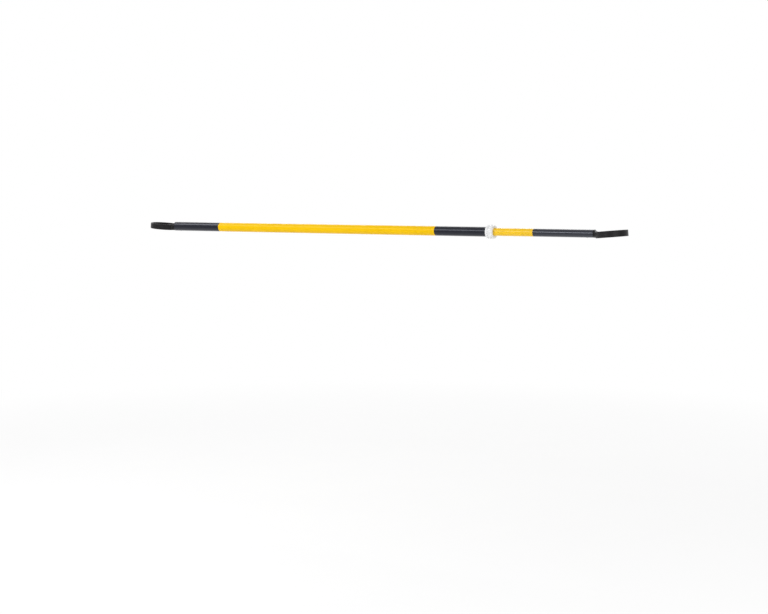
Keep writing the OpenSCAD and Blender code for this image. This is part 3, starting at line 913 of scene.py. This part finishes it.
def markCollar(mesh, size, wear):  # polished edges, dirt beside the tube, painted shade on the thread behind the nut
    back, shoulder = size["back"], size["back"] + size["width"]

    def rim(at):
        toEnd = min(abs(at.x - back), abs(at.x - shoulder))
        outside = math.hypot(at.y, at.z) > size["radius"] - wear["edgeSink"]
        return 1 - toEnd / wear["edgeFade"] if outside else 0.0

    def nook(at):
        out = math.hypot(at.y, at.z)
        low = 1 - (out - size["bore"]) / wear["nookFade"] if abs(at.x - back) < wear["nookReach"] else 0.0
        # the thread behind the nut is darkened as painted shade, carried in the nook mark
        shadedUnderNut = at.x > shoulder - wear["shoulderReach"] and out < size["radius"] - wear["shoulderSink"]
        return max(low, wear["shoulderShade"] if shadedUnderNut else 0.0)

    addMark(mesh, "edge", rim)
    addMark(mesh, "nook", nook)


def makeNut(size):
    points = [
        (size["bore"], size["from"], size["boreEdge"]), (size["root"], size["from"], size["backRound"]),
        (size["root"], size["to"], size["frontRound"]), (size["exit"], size["to"], size["exitEdge"]),
        (size["exit"], size["faceFrom"]), (size["bore"], size["faceFrom"])]
    thing = grow("lockNut", gripTree, {
        "Path Radius": size["path"] * mm, "Sides": size["sides"], "Rib Count": size["ribs"],
        "Rib Height": size["ribHeight"] * mm, "Rib Half Width": size["ribHalf"] * mm,
        "Root Radius": size["root"] * mm, "From": (size["from"] + size["ribBack"]) * mm,
        "To": (size["faceFrom"] + size["ribOver"]) * mm, "Run Out": size["runOut"] * mm,
        "Finish": finishes["lockWhite"]}, seedLine("lockNut", outline(points), longest=size["longest"]))
    settle(thing, alongBar, "nut", "lock_nut")


makeCollar(collar)
makeNut(nut)
print("lock: collar and nut")


# fasteners: a blind rivet under each tube end and the collar's countersunk screw

rivet = {
    "inset": 65.0, "head": 3.2, "dome": 1.2, "domeSteps": 10, "skirt": 0.5, "shank": 1.6, "tail": 2.4,
    "tailGap": 0.02, "tailLong": 1.6, "well": 0.98, "wellFloor": 0.3, "mandrel": 0.82, "mandrelTop": 0.72,
    "mandrelRim": 0.66, "mandrelSide": 0.5, "mandrelBevel": 0.15, "path": 2.0, "sides": 64, "crease": 0.55,
    "dirt": 0.9, "dirtReach": 0.2, "dirtBelow": 0.6,
}


def makeRivet(name, end, size):
    tube, head, well, mandrel = tubes[end["body"]], size["head"], size["well"], size["mandrel"]
    film, skirt = tube["film"], tube["film"] - size["skirt"]
    bow = (head ** 2 + size["dome"] ** 2) / (2 * size["dome"])
    reaches = [well + (head - well) * k / size["domeSteps"] for k in range(size["domeSteps"] + 1)]
    dome = [(r, film + size["dome"] - bow + math.sqrt(bow ** 2 - r ** 2)) for r in reaches]
    core = tube["bore"] - shank["gap"] - shank["wall"]  # the tail sits inside the ring's hollow shank
    tailTop = math.sqrt(core ** 2 - size["tail"] ** 2) - size["tailGap"]
    tailEnd = tailTop - size["tailLong"]
    points = [(0, film + size["mandrelTop"]), (mandrel - size["mandrelBevel"], film + size["mandrelRim"]),
              (mandrel, film + size["mandrelSide"]), (mandrel, film + size["wellFloor"]),
              (well, film + size["wellFloor"]), *dome, (head, skirt), (size["shank"], skirt),
              (size["shank"], tailTop), (size["tail"], tailTop), (size["tail"], tailEnd), (0, tailEnd)]
    thing = turnProfile(name, [Vector(p) for p in points], size, "plainFastener", closed=False)

    def nook(at):
        beside = abs(math.hypot(at.x, at.y) - well) < size["dirtReach"]
        return size["dirt"] if beside and at.z < film + size["dirtBelow"] else 0.0

    addMark(thing.data, "nook", nook)
    settle(thing, end["where"] @ halfTurn(size["inset"], "X"), end["body"], end["rivet"])


def makeScrew(size):
    top, under, tip = size["top"], size["top"] - (size["head"] - size["shank"]), size["tip"]
    points = [(0, top), (size["head"], top, size["headEdge"]), (size["shank"], under),
              (size["shank"], tip + size["tipTaper"]), (size["shank"] - size["tipTaper"], tip), (0, tip)]
    drawn = outline(points, closed=False, steps=size["edgeSteps"])
    thing = turnProfile("collarScrew", drawn, size, "plainFastener", closed=False)
    for turn in (0, 90):  # cross recess, narrower towards its floor
        spin = Matrix.Rotation(math.radians(turn + size["recessTurn"]), 4, "Z")
        rows = []
        for level in (size["recessFloor"], size["recessMouth"]):
            reach, side = size["recess"] * level["reach"], size["recessWide"] / 2 * level["wide"]
            corners = ((-reach, -side), (reach, -side), (reach, side), (-reach, side))
            rows.append([spin @ Vector((x, y, top + level["z"])) * mm for x, y in corners])
        bar = bpy.data.meshes.new("crossRecess")
        with editing(bar) as work:
            loft(work, rows)
        combine(thing, place("crossRecess", bar), "DIFFERENCE")
    settle(thing, halfTurn(size["x"], "X"), "outer", "lock_bush_screw")


for side, end in ends.items():
    makeRivet("rivet" + side, end, rivet)
makeScrew(screw)
print("fasteners:", len(ends) + 1)


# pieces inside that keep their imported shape

insideFinishes = {
    "outer_tube": "drawnSteel", "inner_tube": "drawnSteel", "lock_collet": "naturalNylon",
    "guide_plug": "naturalNylon", "guide_bush": "naturalNylon", "guide_plug_pin": "plainFastener",
}

for node, finish in insideFinishes.items():
    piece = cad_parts[node]
    piece.data.materials.clear()
    piece.data.materials.append(finishes[finish])
print("inside pieces:", len(insideFinishes))
